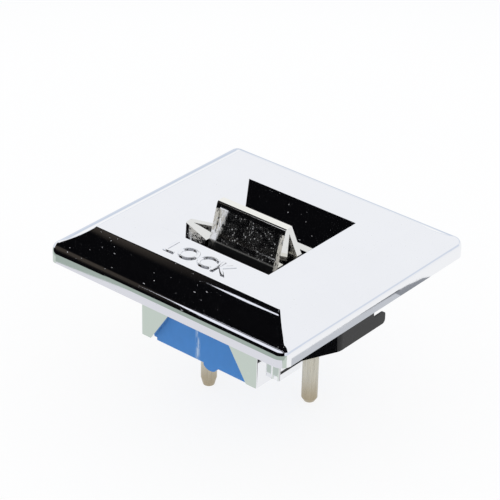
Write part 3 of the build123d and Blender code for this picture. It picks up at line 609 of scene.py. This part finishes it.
class SWITCH_OT_plunger(bpy.types.Operator):
    """Finish the moulded plunger and wind its spring"""

    bl_idname = "switch.plunger"
    bl_label = "Plunger and spring"

    def execute(self, context):
        finish(moulded_acetal(), "plunger")
        settings = context.scene.switch_spring
        middle = (SPRING_LOW + SPRING_HIGH) / 2
        coil = SPRING_HIGH.x - middle.x - settings.wire
        rise = SPRING_HIGH.z - SPRING_LOW.z - 2 * settings.wire
        shape = bmesh.new()
        ring = bmesh.ops.create_circle(
            shape, segments=WIRE_SIDES, radius=settings.wire, cap_ends=True,
            matrix=Matrix.Translation((middle.x + coil, middle.y, SPRING_LOW.z + settings.wire))
            @ Matrix.Rotation(math.pi / 2, 4, "X"))
        steps = STEPS_IN_A_TURN * settings.turns
        bmesh.ops.spin(
            shape, geom=shape.faces[:], cent=middle, axis=(0, 0, 1),
            dvec=(0, 0, rise / steps), angle=2 * math.pi * settings.turns, steps=steps,
            use_duplicate=False)
        if len(shape.faces) < steps * len(ring["verts"]):
            raise RuntimeError("the spring was not wound")
        bmesh.ops.recalc_face_normals(shape, faces=shape.faces)
        for face in shape.faces:
            face.smooth = len(face.verts) == 4
        wire = drawn_metal("Drawn spring wire", "#A9ABAE", "#7B7D80", 0.26, (0.2, 0.2, 0.2),
                           2 * MICRON)
        spring = settle(shape, "coil_spring", wire, LEVER)
        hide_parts("plunger_spring")
        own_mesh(spring)
        return {"FINISHED"}


class SWITCH_OT_retaining_springs(bpy.types.Operator):
    """Blacken the two retaining springs that come out of the skirt's side windows"""

    bl_idname = "switch.retaining_springs"
    bl_label = "Retaining springs"

    def execute(self, context):
        finish(black_oxide(context.scene.switch_finish.black),
               "retaining_spring_right", "retaining_spring_left")
        return {"FINISHED"}


# ---- Studio ----

SENSOR_WIDTH = 36
NEAREST = 10 * MM
WHITE = (1.0, 1.0, 1.0, 1.0)
STRIP_LIGHT = "#F4F6FF"
# Where the room turns from its horizon's colour to its upper colour, as a share of straight up.
HORIZON = (0.02, 0.32)
FLOOR_RADIUS = 4.0
FLOOR_SIDES = 64
# How much of the floor is lifted to its own colour for the camera and for mirrors. The rest
# keeps its shadow. Its blue comes in far off, and fades towards the right.
FLOOR_LIFT = 0.85
FLOOR_FAR = (150 * MM, 500 * MM)
FLOOR_RIGHT = (0.0, 250 * MM, 1.0, 0.15)
HOOD_HALF_LENGTH = 900 * MM
HOOD_STEPS = 40
APRON_LIFT = 1 * MM
# The wall that shows in the hood: where it starts and ends around the hood, from +Y, and where
# it fades along X.
WALL_START = (math.radians(115), math.radians(130))
WALL_END = (math.radians(155), math.radians(178))
WALL_ALONG = (-345 * MM, -265 * MM)
# The strip lights hang a little inside the hood. Their corners are X in mm and the turn around
# the hood in degrees, from +Y.
HANG = 0.97
STRIPS = (
    ("strip_light", ((-303, 138.5), (-284, 136), (-268, 131), (500, 131), (500, 153),
                     (-264, 153), (-284, 141))),
    ("upper_strip", ((-276, 122), (-262, 120.8), (500, 120.8), (500, 123.2), (-262, 123.2))))
# Mats lie on the paper, each with its height above the floor and its corners in mm. In front
# come a pale green one, a white one cut askew, and a green-grey one as far as the apron, with
# black cloth over its left-hand side. To the right of the switch lie grey ones, with a dark
# edge towards the rear, and a small black one by the retaining spring.
MATS = (
    ("far_mat", 0.4, ((-600, -50), (600, -50), (600, -385), (-600, -385)), "#A8B5AC"),
    ("white_mat", 0.8, ((-90, -40), (60, -40), (60, -76), (0, -73), (-25, -64.5),
                        (-57, -61.5), (-90, -59)), "#E6E6EB"),
    ("near_mat", 1.2, ((-600, -28), (600, -28), (600, -56), (-600, -56)), "#CDD7CD"),
    ("black_mat", 1.6, ((-600, -60), (-78, -80), (-92, -128), (-128, -180), (-165, -290),
                        (-200, -385), (-600, -385)), "#0A0A0C"),
    ("grey_mat", 0.8, ((50, 2), (56.6, 8), (56.6, 44), (56.3, 49), (55.6, 53.3), (54.8, 54.8),
                       (50, 56)), "#CBCED3"),
    ("dark_grey_mat", 1.0, ((50, 44.5), (56.5, 44.5), (56.3, 49), (55.6, 53.3), (54.8, 54.8),
                            (50, 56)), "#92959B"),
    ("grey_ribbon", 1.2, ((56.6, 16), (57.6, 16), (57.2, 46), (56.0, 46)), "#75777B"),
    ("right_black_mat", 1.6, ((31, -10), (51, -10), (51, 6), (31, 6)), "#0A0A0C"))


def stand(shape, name, material):
    """Turn a bmesh into a stage object."""
    made = as_object(shape, name, material)
    return made


def reflected_only(card):
    """A card that only mirrors see: it is not in the picture and takes no light away."""
    card.visible_camera = card.visible_diffuse = card.visible_shadow = False
    card.visible_transmission = card.visible_volume_scatter = False


def floor_paint():
    """White paper, lifted towards white for the camera and for mirrors, that keeps its shadow
    and turns pale blue far off, most of all on the left, where it meets the room."""
    material = bpy.data.materials.new("White paper floor")
    tree = blank(material)
    path = add(tree, "ShaderNodeLightPath").outputs
    seen = add(tree, *LARGER, (path["Is Camera Ray"], path["Is Glossy Ray"]))
    seen = add(tree, *LARGER, (seen, path["Is Transmission Ray"]))
    share = add(tree, *TIMES, (seen, FLOOR_LIFT))
    place = add(tree, "ShaderNodeTexCoord").outputs["Object"]
    away = add(tree, "ShaderNodeVectorMath", {"operation": "LENGTH"}, (place,))
    axes = add(tree, "ShaderNodeSeparateXYZ", inputs={"Vector": place}).outputs
    far = add(tree, *TIMES, (add(tree, *EASE, (away.outputs["Value"], *FLOOR_FAR)),
                             add(tree, *EASE, (axes["X"], *FLOOR_RIGHT))))
    tint = add(tree, *BLEND, {SHARE: far, UNDER: WHITE, OVER: opaque(linear("#D3DCE9"))})
    paper = add(tree, "ShaderNodeBsdfDiffuse", inputs={"Color": tint})
    white = add(tree, "ShaderNodeEmission", inputs={"Color": tint, "Strength": 1.0})
    lifted = add(tree, "ShaderNodeMixShader", inputs=(share, paper, white))
    # From below the floor lets the view through, so that the pins and the base can be seen.
    side = add(tree, "ShaderNodeNewGeometry").outputs["Backfacing"]
    both = add(tree, "ShaderNodeMixShader", inputs=(
        side, lifted, add(tree, "ShaderNodeBsdfTransparent")))
    add(tree, "ShaderNodeOutputMaterial", inputs={"Surface": both})
    return material


def card_paint(name, colour):
    """Flat card that glows evenly at its own colour."""
    material = bpy.data.materials.new(name)
    tree = blank(material)
    glow = add(tree, "ShaderNodeEmission", inputs={"Color": opaque(colour), "Strength": 1.0})
    add(tree, "ShaderNodeOutputMaterial", inputs={"Surface": glow})
    return material


def hood_paint():
    """Black cloth, with the brown-grey wall of the room showing at its far left."""
    material = bpy.data.materials.new("Black hood")
    tree = blank(material)
    place = add(tree, "ShaderNodeTexCoord").outputs["Object"]
    axes = add(tree, "ShaderNodeSeparateXYZ", inputs={"Vector": place}).outputs
    turn = add(tree, "ShaderNodeMath", {"operation": "ARCTAN2"}, (axes["Z"], axes["Y"]))
    rise = add(tree, *EASE, (turn, *WALL_START))
    fall = add(tree, *EASE, (turn, *WALL_END, *FADE))
    along = add(tree, *EASE, (axes["X"], *WALL_ALONG, *FADE))
    wall = add(tree, *TIMES, (add(tree, *TIMES, (rise, fall)), along))
    shade = add(tree, *BLEND, {
        SHARE: wall, UNDER: opaque(linear("#08080A")), OVER: opaque(linear("#3D3833"))})
    glow = add(tree, "ShaderNodeEmission", inputs={"Color": shade, "Strength": 1.0})
    add(tree, "ShaderNodeOutputMaterial", inputs={"Surface": glow})
    return material


def flat_card(name, corners, colour):
    """A flat card that only mirrors see."""
    shape = bmesh.new()
    shape.faces.new([shape.verts.new(corner) for corner in corners])
    reflected_only(stand(shape, name, card_paint(name, linear(colour))))


def sky():
    """A white room: pale blue-grey at the horizon and lavender-white above it."""
    world = bpy.data.worlds.new("White room")
    tree = blank(world)
    aim = add(tree, "ShaderNodeTexCoord").outputs["Generated"]
    height = add(tree, "ShaderNodeSeparateXYZ", inputs={"Vector": aim}).outputs["Z"]
    room = add(tree, *BLEND, {
        SHARE: add(tree, *EASE, (height, *HORIZON)),
        UNDER: opaque(linear("#DDE4F0")), OVER: opaque(linear("#FCFDFF"))})
    path = add(tree, "ShaderNodeLightPath").outputs
    shown = add(tree, *BLEND, {SHARE: path["Is Camera Ray"], UNDER: room, OVER: WHITE})
    back = add(tree, "ShaderNodeBackground", inputs={"Color": shown, "Strength": 1.0})
    add(tree, "ShaderNodeOutputWorld", inputs={"Surface": back})
    return world


class SWITCH_OT_stage(bpy.types.Operator):
    """Set the camera, the white room and floor, the black hood, its strip lights and the mats"""

    bl_idname = "switch.stage"
    bl_label = "Studio"

    def execute(self, context):
        settings = context.scene.switch_stage
        scene = context.scene
        turn = (Matrix.Rotation(settings.azimuth, 4, "Z")
                @ Matrix.Rotation(math.pi / 2 - settings.elevation, 4, "X")
                @ Matrix.Rotation(settings.roll, 4, "Z"))
        lens = bpy.data.cameras.new("Camera")
        lens.lens = settings.lens
        lens.sensor_width = SENSOR_WIDTH
        lens.clip_start = NEAREST
        camera = bpy.data.objects.new("Camera", lens)
        back = turn @ Vector((0, 0, settings.distance))
        camera.matrix_world = Matrix.Translation(Vector(settings.target) + back) @ turn
        context.collection.objects.link(camera)
        scene.camera = camera
        scene.view_settings.view_transform = "Standard"
        scene.world = sky()

        ground = bmesh.new()
        bmesh.ops.create_circle(
            ground, cap_ends=True, segments=FLOOR_SIDES, radius=FLOOR_RADIUS,
            matrix=Matrix.Translation((0, 0, settings.floor)))
        stand(ground, "floor", floor_paint())

        # The hood is a half tunnel along X. It starts past the zenith, comes down on the near
        # side and runs on towards the switch as an apron on the floor.
        radius = settings.hood_radius
        hood = bmesh.new()
        edge = settings.hood_edge
        first = [hood.verts.new((x, radius * math.cos(edge), radius * math.sin(edge)))
                 for x in (-HOOD_HALF_LENGTH, HOOD_HALF_LENGTH)]
        rail = hood.edges.new(first)
        foot = math.pi + math.asin(-settings.floor / radius)
        swept = bmesh.ops.spin(
            hood, geom=[rail, *first], cent=(0, 0, 0), axis=(1, 0, 0),
            angle=foot - edge, steps=HOOD_STEPS, use_duplicate=False)
        low = [item for item in swept["geom_last"] if isinstance(item, bmesh.types.BMEdge)]
        apron = bmesh.ops.extrude_edge_only(hood, edges=low)
        verts = [item for item in apron["geom"] if isinstance(item, bmesh.types.BMVert)]
        reach = settings.apron_end - radius * math.cos(foot)
        bmesh.ops.translate(hood, verts=verts, vec=(0, reach, APRON_LIFT))
        reflected_only(stand(hood, "black_hood", hood_paint()))

        for name, corners in STRIPS:
            turns = [(x * MM, math.radians(turned)) for x, turned in corners]
            flat_card(name, [(x, HANG * radius * math.cos(turned),
                              HANG * radius * math.sin(turned)) for x, turned in turns],
                      STRIP_LIGHT)
        for name, thickness, corners, colour in MATS:
            height = settings.floor + thickness * MM
            flat_card(name, [(x * MM, y * MM, height) for x, y in corners], colour)
        return {"FINISHED"}


# ---- Sidebar ----

PIECES = (SWITCH_OT_bezel, SWITCH_OT_lettering, SWITCH_OT_lever, SWITCH_OT_base,
          SWITCH_OT_terminals, SWITCH_OT_contacts, SWITCH_OT_plunger,
          SWITCH_OT_retaining_springs, SWITCH_OT_stage)
GROUPS = {"switch_lettering": SWITCH_PG_lettering, "switch_spring": SWITCH_PG_spring,
          "switch_finish": SWITCH_PG_finish, "switch_stage": SWITCH_PG_stage}


class SWITCH_PT_sidebar(bpy.types.Panel):
    """Window switch finishes"""

    bl_idname = "SWITCH_PT_sidebar"
    bl_label = "Window switch"
    bl_space_type = "VIEW_3D"
    bl_region_type = "UI"
    bl_category = "Window switch"

    def draw(self, context):
        for name, group in GROUPS.items():
            box = self.layout.box()
            box.label(text=group.__doc__)
            settings = getattr(context.scene, name)
            for key in group.__annotations__:
                box.prop(settings, key)
        for piece in PIECES:
            self.layout.operator(piece.bl_idname)


def register():
    for made in (*GROUPS.values(), *PIECES, SWITCH_PT_sidebar):
        bpy.utils.register_class(made)
    for name, group in GROUPS.items():
        setattr(bpy.types.Scene, name, bpy.props.PointerProperty(type=group))


def unregister():
    for name in GROUPS:
        delattr(bpy.types.Scene, name)
    for made in reversed((*GROUPS.values(), *PIECES, SWITCH_PT_sidebar)):
        bpy.utils.unregister_class(made)


def main():
    """Register the add-on and run every operator in order."""
    register()
    bpy.ops.switch.bezel()
    bpy.ops.switch.lettering()
    bpy.ops.switch.lever()
    bpy.ops.switch.base()
    bpy.ops.switch.terminals()
    bpy.ops.switch.contacts()
    bpy.ops.switch.plunger()
    bpy.ops.switch.retaining_springs()
    bpy.ops.switch.stage()


if __name__ == "__main__":
    main()
